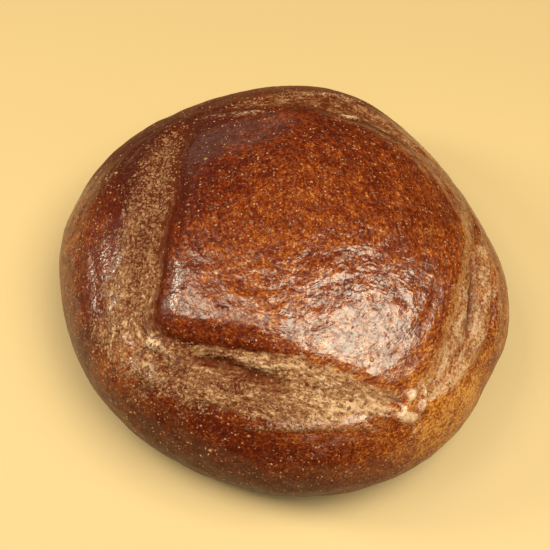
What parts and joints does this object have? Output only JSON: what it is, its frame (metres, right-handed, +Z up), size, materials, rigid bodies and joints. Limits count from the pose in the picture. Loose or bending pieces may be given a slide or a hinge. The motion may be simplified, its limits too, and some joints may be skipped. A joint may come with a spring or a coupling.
{
  "type": "whole wheat bread loaf",
  "caption": "Whole wheat hearth loaf: a low round dome with a dark glossy crust, its top cut in a square whose torn bands leave a raised lid.",
  "frame": {"origin": "under the middle of the loaf's bounding box, on the surface that it rests on", "axes": "+Z up through the top of the dome; +X to the right and +Y to the back, with the broadest torn bands at the left and the front"},
  "size_m": [0.2434, 0.2446, 0.0911],
  "materials": {
    "crust": "dark red-brown baked crust with a satin gloss, paler and matte in the torn bands"
  },
  "bodies": {
    "root": {"loaf": "crust"}
  },
  "joints": []
}
